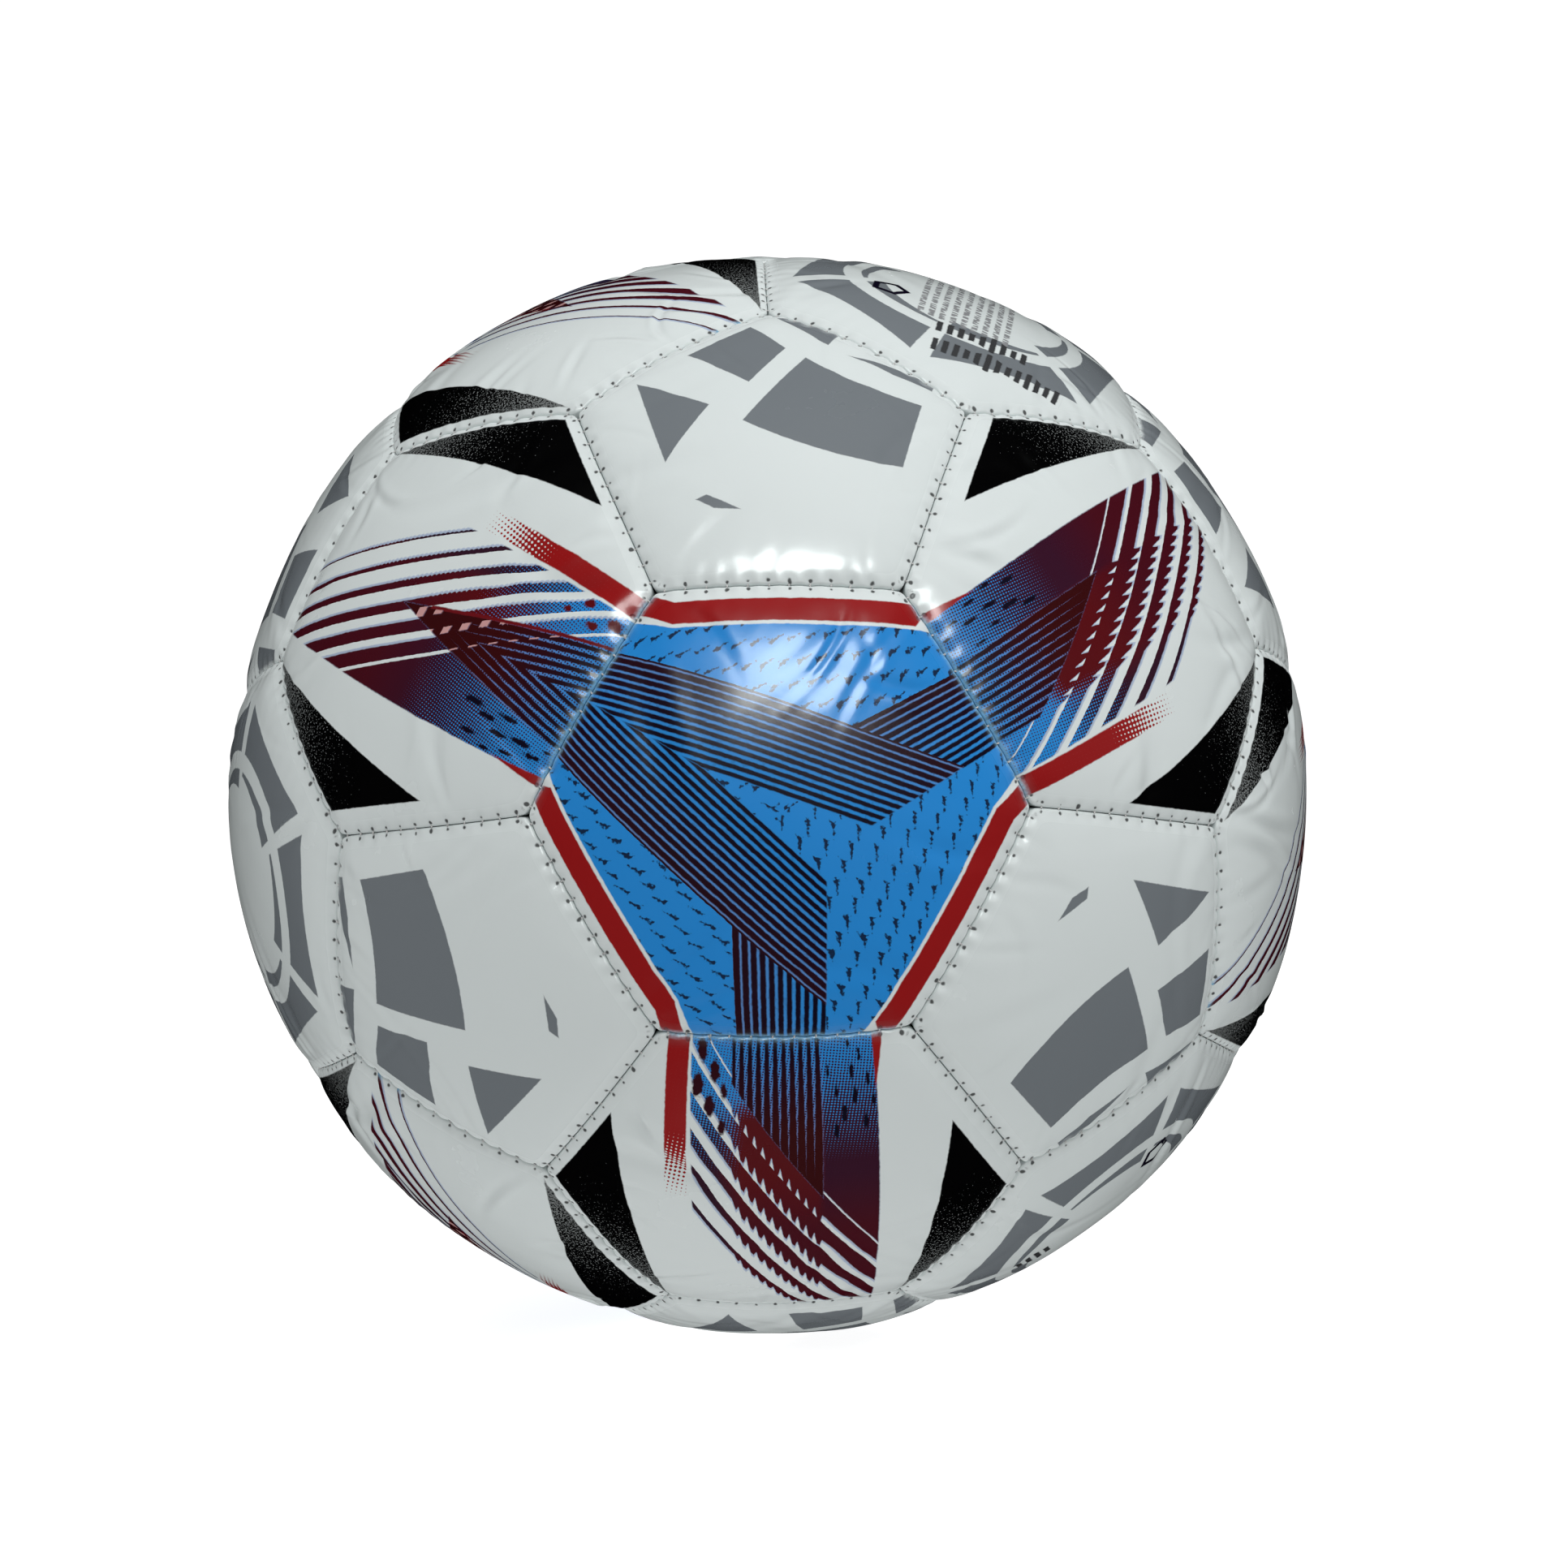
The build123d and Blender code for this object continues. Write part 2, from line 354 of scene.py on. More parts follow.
def build_panel(name, shape, axes, seed, rumple, hole=0.0):
    """One cover panel as a closed skin: outside, roll, turned-in hem and the side on the foam."""
    count = len(shape.rim)
    outer = shape.outer
    distance = np.repeat(shape.distances[:, None], count, 1)
    if hole:
        keep = shape.distances < shape.inradius() * BALL_RADIUS - hole * 2.2
        outer, distance = outer[keep], distance[keep]
        rim = valve_rim(outer[-1], hole)
        steps = np.linspace(0, 1, STEM_RINGS + 1)[1:, None, None]
        outer = np.concatenate([outer, unit(outer[-1] * (1 - steps) + rim * steps)])
        distance = np.concatenate([distance, np.full((STEM_RINGS, count), FAR)])
    world = outer @ axes * BALL_RADIUS
    radius = BALL_RADIUS - surface_drop(shape, outer, distance, world, seed, rumple)
    if hole:
        radius[-1] -= 0.5
    top = outer * radius[..., None]
    hem_in = shape.inner[0]
    levels = [np.minimum(HEM_RADIUS + height, radius[0] - 0.05) for height in reversed(HEM_LEVELS)]
    hem = [outer[0] * level[:, None] for level in levels]
    inner_rings = shape.inner
    if hole:
        inner_rings = np.concatenate([inner_rings[:-1], rim[None]])
    inner = [ring * level for ring, level in zip(inner_rings, backing_radius(shape))]
    order = list(top[::-1]) + hem + [hem_in * HEM_RADIUS] + inner

    # The layer OFBake places the print. The layer Seam holds stitch number and distance.
    plane = outer[..., :2] / outer[..., 2:] / shape.slope
    uv = list((0.5 + UV_SCALE * plane)[::-1])
    number = shape.stitch_number(outer)
    seam_values = list(np.stack([number, distance], -1)[::-1])
    rim_way = unit(plane[0])
    for i in range(1, len(hem) + 1):
        uv.append(0.5 + UV_SCALE * (plane[0] + 0.006 * i * rim_way))
        seam_values.append(np.stack([number[0], np.full(count, -0.5 * i)], -1))
    back_middle, back_reach = BACK_UV
    for ring in [hem_in] + list(inner_rings):
        uv.append(back_middle + back_reach * ring[:, :2] / ring[:, 2:] / shape.slope)
        seam_values.append(np.tile([0.5, FAR], (count, 1)))
    points = np.concatenate(order) @ axes
    uv = np.concatenate(uv)
    seam_values = np.concatenate(seam_values)

    faces = []
    for k in range(len(order) - 1):
        faces += ring_quads(k * count, (k + 1) * count, count)
    innermost = (len(order) - 1) * count
    if hole:
        faces += ring_quads(innermost, 0, count)
    else:
        last = len(points)
        middle = np.array([[0, 0, 1.0]])
        drop = surface_drop(shape, middle, np.array([FAR]), axes[2:] * BALL_RADIUS, seed, rumple)[0]
        peaks = [axes[2] * (BALL_RADIUS - drop), axes[2] * (BALL_RADIUS - SKIN)]
        points = np.concatenate([points, peaks])
        uv = np.concatenate([uv, [[0.5, 0.5], [back_middle, back_middle]]])
        seam_values = np.concatenate([seam_values, [[0.5, FAR], [0.5, FAR]]])
        faces += [(last, (i + 1) % count, i) for i in range(count)][::-1]
        faces += [(last + 1, innermost + i, innermost + (i + 1) % count) for i in range(count)]
    faces = [tuple(reversed(f)) for f in faces]
    obj = finish_mesh(name, warp(points), faces)
    write_uv(obj.data, "OFBake", uv)
    write_uv(obj.data, "Seam", seam_values)
    slots = np.ones(len(faces), int)
    slots[:(len(top) + len(hem)) * count] = 0
    if not hole:
        slots[innermost:innermost + count] = 0
    obj.data.polygons.foreach_set("material_index", slots)
    return obj


def build_stitches(name, seams, seed):
    """Thread that crosses the groove at every stitch and sinks into the cover on both sides."""
    rng = np.random.default_rng(seed)
    around, along = 8, 7
    points = []
    faces = []
    share = np.linspace(-1, 1, along)
    ring = np.arange(around) * 2 * math.pi / around
    for start, end in seams:
        side = unit(end - start * (start @ end))
        arc = math.acos(start @ end)
        for k in range(STITCHES):
            angle = (k + 0.5 + rng.normal(0, 0.03)) / STITCHES * arc
            out = start * math.cos(angle) + side * math.sin(angle)
            run = side * math.cos(angle) - start * math.sin(angle)
            across = np.cross(out, run)
            slant = rng.normal(0.20, 0.08)
            sunk = seam_depth(out * BALL_RADIUS) + 0.30
            way = across + run * slant
            base = len(points)
            for s in share:
                depth = sunk + 0.75 * s * s
                middle = out * (BALL_RADIUS - depth) + way * STITCH_REACH * s
                for t in ring:
                    points.append(middle + STITCH_RADIUS * (out * math.cos(t) + run * math.sin(t)))
            for j in range(along - 1):
                faces += ring_quads(base + j * around, base + (j + 1) * around, around)
            faces.append(tuple(base + i for i in reversed(range(around))))
            faces.append(tuple(base + (along - 1) * around + i for i in range(around)))
    return finish_mesh(name, warp(np.array(points)), faces)


def all_seams():
    """The ends of the seams between hexagons, and of those round the pentagons."""
    near = [(a, b) for a, b in combinations(range(12), 2) if PENTAGONS[a] @ PENTAGONS[b] > NEIGHBOURS]

    def corner(i, j):
        return unit(PENTAGONS[i] * 2 + PENTAGONS[j])

    between = [(corner(a, b), corner(b, a)) for a, b in near]
    around = []
    for face in faces_of(PENTAGONS):
        for i in range(3):
            around.append((corner(face[i], face[i - 1]), corner(face[i], face[i - 2])))
    return between, around


# ---- materials ----
BLUE = (0.016, 0.265, 0.72)
PALE_BLUE = (0.16, 0.27, 0.56)
RED = (0.33, 0.006, 0.007)
BURGUNDY = (0.070, 0.004, 0.011)
DARK_RED = (0.110, 0.003, 0.006)
PLUM = (0.042, 0.006, 0.022)
MAUVE = (0.15, 0.20, 0.46)
DARKEST_RED = (0.045, 0.003, 0.004)
NAVY = (0.006, 0.004, 0.016)
BLACK = (0.0012, 0.0012, 0.0014)
GREY = (0.185, 0.208, 0.226)
WHITE = (0.750, 0.810, 0.805)
# the paler blue that blue print turns to next to the seams
SEAM_BLUE = (0.24, 0.54, 0.78)
PINK = (0.62, 0.33, 0.32)
EDGE_RED = (0.16, 0.005, 0.009)
SPOT_RED = (0.035, 0.004, 0.009)
LINE_RED = (0.026, 0.004, 0.010)
NIGHT = (0.020, 0.010, 0.026)
BAR_GREY = (0.050, 0.052, 0.055)
RULE_GREY = (0.28, 0.29, 0.30)
DIRT = (0.30, 0.30, 0.29)
# painted shade for the needle holes, which the mesh does not cut
HOLE_SHADE = (0.012, 0.012, 0.013)

LINE_PITCH = 0.0285  # of the star's bundles, in panel units
STRAIGHT_PITCH = 0.0315  # of the bundles that run straight on from the star into an arm
DASH_ROWS = 0.088  # from row to row of the star's dashes
DASH_PITCH = 0.070
FINE_COMB = 0.019  # pitch of the teeth on dashes and stripes
STRIPE_PITCH = 0.0955  # of the arms' slanting stripes
RAGGED = 0.006  # how much the outlines of the print waver
BAND_BLUR = 0.006  # width of the soft edge of bundles, stripes and bars

PENTAGON_PATCHES = (
    ((-0.63, 0.39), (-0.49, -0.15), (-0.28, 0.17)),
    ((-0.09, 0.79), (-0.39, 0.57), (-0.10, 0.31), (0.07, 0.57)),
    ((0.04, 0.89), (0.27, 0.61), (0.34, 0.77), (0.11, 0.93)),
    ((0.36, 0.54), (0.57, 0.425), (0.76, 0.37), (0.785, 0.44)),
    ((-0.36, -0.375), (-0.28, -0.43), (-0.16, -0.44), (-0.31, -0.355)),
)
EMBLEM_LEAN = math.radians(37.8)


class Nodes:
    """A new material, with short ways to add nodes to it."""

    def __init__(self, name):
        self.material = bpy.data.materials.new(name)
        self.material.use_nodes = True
        self.tree = self.material.node_tree
        self.shader = self.tree.nodes["Principled BSDF"]
        self.where = self.node("ShaderNodeTexCoord").outputs["Object"]

    def node(self, kind, **settings):
        made = self.tree.nodes.new(kind)
        for key, value in settings.items():
            setattr(made, key, value)
        return made

    def put(self, value, socket):
        """Link a socket to a node's output, or set it to a number or colour."""
        if isinstance(value, bpy.types.NodeSocket):
            self.tree.links.new(value, socket)
        elif socket.type == "RGBA":
            socket.default_value = (*value, 1)
        else:
            socket.default_value = value

    def math(self, operation, *terms, clamp=False):
        made = self.node("ShaderNodeMath", operation=operation, use_clamp=clamp)
        for term, socket in zip(terms, made.inputs):
            self.put(term, socket)
        return made.outputs[0]

    def plus(self, a, b, clamp=False):
        return self.math("ADD", a, b, clamp=clamp)

    def minus(self, a, b):
        return self.math("SUBTRACT", a, b)

    def times(self, a, b):
        return self.math("MULTIPLY", a, b)

    def scaled(self, a, b, c, clamp=False):
        """a b + c"""
        return self.math("MULTIPLY_ADD", a, b, c, clamp=clamp)

    def from_whole(self, number):
        """Distance from the nearest whole number."""
        return self.math("PINGPONG", number, 0.5)

    def vector(self, operation, *terms):
        made = self.node("ShaderNodeVectorMath", operation=operation)
        for term, socket in zip(terms, made.inputs):
            self.put(term, socket)
        return made.outputs["Value" if operation == "DOT_PRODUCT" else "Vector"]

    def length(self, gone):
        return self.math("SQRT", self.vector("DOT_PRODUCT", gone, gone))

    def noise(self, where, scale, detail, output="Fac"):
        made = self.node("ShaderNodeTexNoise")
        self.put(where, made.inputs["Vector"])
        made.inputs["Scale"].default_value = scale
        made.inputs["Detail"].default_value = detail
        return made.outputs[output]

    def ramp(self, field, start, end):
        """0 to 1 as the field goes from start to end."""
        scale = 1 / (end - start)
        return self.scaled(field, scale, -start * scale, clamp=True)

    def blend(self, share, a, b):
        """Colour a where the share is 0, and b where it is 1."""
        made = self.node("ShaderNodeMix", data_type="RGBA")
        self.put(share, made.inputs["Factor"])
        self.put(a, made.inputs["A"])
        self.put(b, made.inputs["B"])
        return made.outputs["Result"]

    def use(self, value, name):
        """Give the shader one of its inputs."""
        self.put(value, self.shader.inputs[name])

    def bump(self, height, strength, distance):
        made = self.node("ShaderNodeBump")
        made.inputs["Strength"].default_value = strength
        made.inputs["Distance"].default_value = distance
        self.put(height, made.inputs["Height"])
        self.use(made.outputs["Normal"], "Normal")


class Print(Nodes):
    """Node maths that draws flat shapes on a panel: x to the right, y up, panel corners 1 away.

    A field is a number that varies over the panel, such as the distance from a line. ink is the
    colour so far, and seam_colour is the paler colour that the ink turns to next to the seams.
    """

    def __init__(self, name):
        super().__init__(name)
        uv = self.node("ShaderNodeUVMap", uv_map="OFBake").outputs["UV"]
        scale = 1 / UV_SCALE
        self.plain = self.vector("MULTIPLY_ADD", uv, (scale, scale, 0), (-scale / 2, -scale / 2, 1))
        waver = self.noise(self.plain, 42, 3, "Color")
        self.point = self.vector("MULTIPLY_ADD", waver, (RAGGED, RAGGED, 0), self.plain)
        self.point = self.vector("ADD", self.point, (-RAGGED / 2, -RAGGED / 2, 0))
        self.x = self.along(1, 0, 0)
        self.y = self.along(0, 1, 0)
        self.ink = WHITE
        self.seam_colour = WHITE

    def along(self, a, b, c, point=None):
        """a x + b y + c"""
        return self.vector("DOT_PRODUCT", point or self.point, (a, b, c))

    def numbered(self, a, b, c, pitch, point=None):
        """Lines side by side, that far apart: the number of the line at each place."""
        return self.along(a / pitch, b / pitch, c / pitch, point)

    def left_of(self, start, end, point=None):
        """Distance from the line through two points, positive on its left."""
        across = Vector((start[1] - end[1], end[0] - start[0])).normalized()
        return self.along(across.x, across.y, -across.x * start[0] - across.y * start[1], point)

    def pair(self, x, y, z=0):
        """One vector from two fields."""
        made = self.node("ShaderNodeCombineXYZ")
        self.put(x, made.inputs[0])
        self.put(y, made.inputs[1])
        made.inputs[2].default_value = z
        return made.outputs[0]

    def least(self, *fields):
        """Positive where all fields are."""
        low = fields[0]
        for field in fields[1:]:
            low = self.math("MINIMUM", low, field)
        return low

    def most(self, *fields):
        """Positive where any field is."""
        high = fields[0]
        for field in fields[1:]:
            high = self.math("MAXIMUM", high, field)
        return high

    def shape(self, *corners, point=None):
        """Positive inside a convex outline that is given anticlockwise."""
        return self.least(*(self.left_of(corners[i - 1], end, point) for i, end in enumerate(corners)))

    def circle(self, centre, radius):
        """Distance inward from a circle, positive inside."""
        gone = self.vector("SUBTRACT", self.point, (*centre, 1))
        return self.minus(radius, self.length(gone))

    def mask(self, field, blur=0.005):
        """1 where the field is positive, else 0, with an edge that wide."""
        return self.scaled(field, 1 / blur, 0.5, clamp=True)

    def paint(self, colour, share):
        """Lay a colour over the ink."""
        self.ink = self.blend(share, self.ink, colour)

    def halftone(self, tone, pitch=0.017):
        """Dots that grow into each other as the tone goes from 0 to 1."""
        k = 2 * math.pi / pitch
        a = self.math("SINE", self.along(k * 0.80, k * 0.60, 0))
        b = self.math("SINE", self.along(k * -0.60, k * 0.80, 0))
        dots = self.times(a, b)
        level = self.scaled(tone, 2.2, -1.1)
        return self.scaled(self.plus(level, dots), 4, 0.5, clamp=True)

    def bundle(self, number, region, last):
        """A dark line on tinted blue for each whole number, heavier towards the last."""
        inside = self.least(region, self.plus(number, 0.35), self.minus(last, number))
        inside = self.mask(inside, BAND_BLUR)
        heavy = self.math("POWER", self.math("DIVIDE", number, last, clamp=True), 2.0)
        self.paint(self.blend(heavy, BLUE, PALE_BLUE), self.times(inside, 0.8))
        half = self.scaled(heavy, 0.12, 0.29)
        stripe = self.minus(half, self.from_whole(number))
        dark = self.times(self.mask(stripe, 0.16), inside)
        self.paint(self.blend(heavy, NAVY, LINE_RED), dark)


def star_print(art):
    """Blue ground, three red bands, four bundles of lines and rows of small dashes."""
    # The three sides are folded onto the upper one for what all of them have alike.
    fx, fy = art.x, art.y
    for turn in (2 * math.pi / 3, 4 * math.pi / 3):
        x = art.along(math.cos(turn), math.sin(turn), 0)
        y = art.along(-math.sin(turn), math.cos(turn), 0)
        higher = art.math("GREATER_THAN", y, fy)
        fx = art.scaled(higher, art.minus(x, fx), fx)
        fy = art.most(y, fy)
    folded = art.pair(fx, fy, 1)
    art.seam_colour = SEAM_BLUE
    art.ink = BLUE
    dashes(art, folded)
    # Four bundles of lines.
    a = art.numbered(0.3228, 0.9465, -0.0703, LINE_PITCH)
    b = art.numbered(-0.681, -0.732, -0.0793, LINE_PITCH)
    c = art.numbered(-0.461, 0.887, 0.1627, LINE_PITCH)
    d = art.numbered(-1, 0, 0.148, STRAIGHT_PITCH)
    art.bundle(c, art.plus(a, -10.6), 11.2)
    column = art.minus(0.157, art.x)
    art.bundle(d, art.least(art.plus(b, -11.6), column), 10.4)
    crest = art.left_of((0.0, -0.0054), (-0.31, 0.18))
    art.bundle(b, art.least(crest, column), 11.9)
    cut = art.left_of((0.33, -0.04), (0.68, 0.165))
    art.bundle(a, art.least(art.times(crest, -1), cut), 10.9)
    # The red band along each side, with white beyond it.
    bend = art.most(art.along(-0.42, 0, -0.1722, folded), 0)
    height = art.minus(fy, bend)
    end = art.left_of((0.52, 0.695), (0.60, 0.785), folded)
    off = art.math("ABSOLUTE", art.minus(height, 0.755))
    wedge = art.scaled(bend, 0.35, 0.063)
    art.paint(WHITE, art.mask(art.minus(wedge, off)))
    art.paint(WHITE, art.mask(art.minus(height, 0.80)))
    art.paint(RED, art.mask(art.least(art.minus(0.048, off), end)))


def dashes(art, folded):
    """Rows of small dark marks, thick at their left end, in each of the star's three areas."""
    row = art.along(-0.13 / DASH_ROWS, 1 / DASH_ROWS, 0.32, folded)
    number = art.math("FLOOR", row)
    place = art.numbered(1, 0.13, 0, DASH_PITCH, folded)
    place = art.scaled(number, 0.37, place)
    chance = art.node("ShaderNodeTexWhiteNoise", noise_dimensions="2D")
    art.put(art.pair(art.math("FLOOR", place), number), chance.inputs["Vector"])
    size = art.scaled(chance.outputs["Value"], 0.45, 0.30)
    side = art.ramp(art.along(1, 0, 0, folded), -0.15, 0.40)
    size = art.times(size, art.scaled(side, 0.5, 0.5))
    dx = art.minus(art.math("FRACT", place), 0.5)
    dy = art.minus(art.math("FRACT", row), 0.5)
    comb = art.from_whole(art.numbered(1, -0.4, 0, FINE_COMB, folded))
    slant = art.scaled(dx, -0.22, dy)
    deep = art.times(art.minus(0.20, dx), size)
    deep = art.times(deep, art.scaled(comb, 1.1, 0.55))
    mark = art.least(art.plus(slant, deep), art.minus(0.07, slant), art.plus(dx, 0.36))
    mark = art.scaled(art.noise(art.plain, 75, 1), 0.30, art.minus(mark, 0.15))
    art.paint(NAVY, art.times(art.mask(mark, 0.06), 0.92))


def spots(art, colour, places, width, height):
    """Upright ovals of ink with rough edges. Each place is x, y and a share of the full size."""
    reaches = []
    scale = (1 / width, 1 / height, 0)
    for x, y, size in places:
        gone = art.vector("MULTIPLY_ADD", art.point, scale, (-x / width, -y / height, 0))
        reaches.append(art.minus(size, art.length(gone)))
    spread = art.minus(art.most(*reaches), 0.55)
    spread = art.scaled(art.noise(art.plain, 45, 1), 1.1, spread)
    art.paint(colour, art.mask(spread, 0.4))


BLACK_TRIANGLES = (
    ((-0.91, 0.07), (-0.645, -0.39), (-0.49, 0.82)),
    ((0.94, 0.0), (0.50, 0.80), (0.68, -0.45)),
)
ARM_SPOTS = (  # x, y and size
    (-0.26, -0.60, 1.0), (-0.19, -0.62, 0.8), (-0.31, -0.67, 0.8), (-0.25, -0.71, 0.9),
    (-0.22, -0.52, 1.1), (-0.28, -0.78, 0.7), (-0.30, -0.47, 1.0), (-0.19, -0.44, 0.9),
    (-0.24, -0.83, 0.6), (-0.33, -0.57, 0.7), (-0.16, -0.72, 0.6),
)
MERGING_SPOTS = ((0.265, -0.60, 0.7), (0.325, -0.67, 1.0), (0.255, -0.73, 0.9), (0.30, -0.81, 1.2))
RIGHT_SPOTS = (
    (0.235, -0.46, 0.8), (0.28, -0.56, 1.1), (0.325, -0.65, 1.2),
    (0.26, -0.72, 1.1), (0.31, -0.81, 1.1), (0.225, -0.63, 0.7),
)


def black_triangles(art):
    """A triangle at each side of an arm, with speckles in its outer end."""
    wear = art.scaled(art.y, 0.40, art.noise(art.plain, 120, 1))
    solid = art.scaled(art.ramp(wear, 0.755, 0.73), 0.24, 0.76)
    for outline in BLACK_TRIANGLES:
        art.paint(BLACK, art.times(art.mask(art.shape(*outline)), solid))


def stripe_colour(art, merging):
    """Dark red in dots on blue, mostly blue at the star's end and mostly red further out."""
    steps = ((0.0, 0.06, -0.70, -0.20),)
    if not merging:
        steps = ((-0.15, -0.13, -0.62, -0.50), (0.15, 0.20, -0.66, -0.22))
    tone = art.ramp(art.y, -0.85, -0.10) if merging else art.ramp(art.y, -0.96, -0.28)
    tone = art.math("POWER", tone, 1.25)
    for start, end, low, high in steps:
        step = art.minus(art.ramp(art.y, low, high), tone)
        tone = art.scaled(art.ramp(art.x, start, end), step, tone)
    tone = art.scaled(tone, 0.74, 0.26)
    edge = 0.15 if merging else 0.0
    dark = art.blend(art.ramp(art.x, edge - 0.15, edge - 0.12), PLUM, DARK_RED)
    dark = art.blend(art.ramp(art.y, -0.22, 0.10), dark, BURGUNDY)
    dark = art.blend(art.times(art.ramp(art.x, 0.16, 0.26), 0.8), dark, NIGHT)
    return art.blend(art.halftone(tone), BLUE, dark)


def arm_print(art, merging=False, spotted=False, missing=0.0):
    """Black triangles either side of a coloured band of slanting stripes on white.

    A straight bundle of lines runs under the stripes, which have teeth there. On a merging arm it
    is a fork of lines. missing is about how many of the outermost stripes are left out.
    """
    art.seam_colour = SEAM_BLUE
    art.ink = WHITE
    black_triangles(art)
    rise = art.along(0, 1, 0.866)
    if merging:
        lines = art.scaled(rise, 0.235, art.math("ABSOLUTE", art.x))
        bundle = art.minus(0.225, lines)
        comb = art.from_whole(art.numbered(0, 1, 0, FINE_COMB))
        window = art.ramp(art.x, 0.02, 0.10)
        longest = 0.07
    else:
        lines = art.along(1, 0, 0.14)
        bundle = art.least(lines, art.minus(0.335, lines))
        comb = None
        window = art.least(art.ramp(art.x, -0.145, -0.13), art.ramp(art.x, 0.20, 0.18))
        longest = 0.40
    between = art.from_whole(art.scaled(lines, 1 / STRAIGHT_PITCH, 0.5))
    teeth = art.times(art.ramp(comb or between, 0.46, 0.16), window)

    # Stripes are numbered outward from the star. They fan out and get thinner.
    slope = art.along(0.866, 0.5, 0)
    fan = art.times(art.along(0, -0.1276, 0.1105), art.plus(slope, 0.15))
    number = art.scaled(art.plus(slope, fan), 1 / STRIPE_PITCH, 0.143 / STRIPE_PITCH)
    number = art.plus(number, missing)
    half = art.scaled(number, -0.058, 0.33 if merging else 0.39)
    teeth = art.times(teeth, art.scaled(number, -0.1 * longest, longest))
    cycle = art.math("FRACT", art.plus(number, half))
    stripe = art.scaled(half, 2, art.minus(teeth, cycle))
    left = art.left_of((-0.365, 0.80), (-0.34, -0.866))
    right = art.minus(0.352, art.x)
    limits = art.least(left, right, art.times(art.minus(5.5, number), 0.1))
    limits = art.mask(limits, BAND_BLUR)
    fringe = art.times(art.mask(art.plus(stripe, 0.11), 0.06), limits)
    art.paint(PALE_BLUE, art.times(fringe, 0.55))
    solid = art.minus(-0.50, number)
    body = art.times(art.mask(art.most(stripe, solid), 0.04), limits)
    art.paint(stripe_colour(art, merging), body)
    if merging:
        spots(art, NAVY, ARM_SPOTS[1:9:2], 0.014, 0.050)
    spots(art, NAVY, ARM_SPOTS, 0.009, 0.038)

    # The straight bundle or the fork. within is where it shows between the stripes.
    thick = art.scaled(rise, 0.50, 0.22)
    threads = art.mask(art.minus(thick, between), 0.12)
    if merging:
        fork = art.mask(bundle, BAND_BLUR)
        gap = art.least(art.minus(-0.10, stripe), art.minus(number, -0.42))
        dash = art.mask(art.minus(art.math("FRACT", art.numbered(0, 1, 0, 0.075)), 0.55), 0.1)
        open_space = art.minus(1, art.times(art.mask(gap, 0.05), dash))
        art.paint(PINK, art.times(fork, art.minus(1, body)))
        within = art.times(fork, open_space)
    else:
        start = art.times(art.plus(solid, 0.25), 0.1)
        within = art.mask(art.least(bundle, start), BAND_BLUR)
    under = art.blend(art.ramp(art.y, -0.86, -0.40), BLUE, MAUVE)
    art.paint(art.blend(art.halftone(0.35), under, PLUM), within)
    dark = art.blend(art.ramp(art.y, -0.86, -0.45), NAVY, DARKEST_RED)
    art.paint(dark, art.times(threads, within))
    if merging:
        edge = art.minus(0.007, art.math("ABSOLUTE", bundle))
        edge = art.least(edge, art.minus(art.x, 0.01), art.minus(-0.05, art.y))
        art.paint(EDGE_RED, art.mask(edge))
        spots(art, DARK_RED, MERGING_SPOTS, 0.018, 0.026)
    elif spotted:
        spots(art, SPOT_RED, RIGHT_SPOTS, 0.017, 0.046)

    # The star's red bands run on at the right, where one fades out, and as a sliver at the left.
    tail = art.least(art.left_of((0.375, 0.0), (0.362, -0.866)), art.left_of((0.45, -0.866), (0.46, 0.0)))
    fade = art.halftone(art.ramp(art.y, -0.06, -0.42), 0.026)
    art.paint(RED, art.times(art.mask(tail), fade))
    art.paint(RED, art.mask(art.shape((-0.385, -0.90), (-0.335, -0.90), (-0.338, -0.62))))


def pentagon_print(art):
    """Loose grey patches on white, as if cut from a ring."""
    art.ink = WHITE
    grey = art.most(*(art.shape(*outline) for outline in PENTAGON_PATCHES))
    sides = art.least(art.left_of((0.16, 0.49), (-0.13, 0.05)), art.left_of((0.585, -0.19), (0.695, 0.225)))
    above = art.times(art.circle((0.81, 1.13), 0.91), -1)
    large = art.least(sides, above, art.circle((0.58, 1.02), 1.20))
    art.paint(GREY, art.mask(art.most(grey, large)))


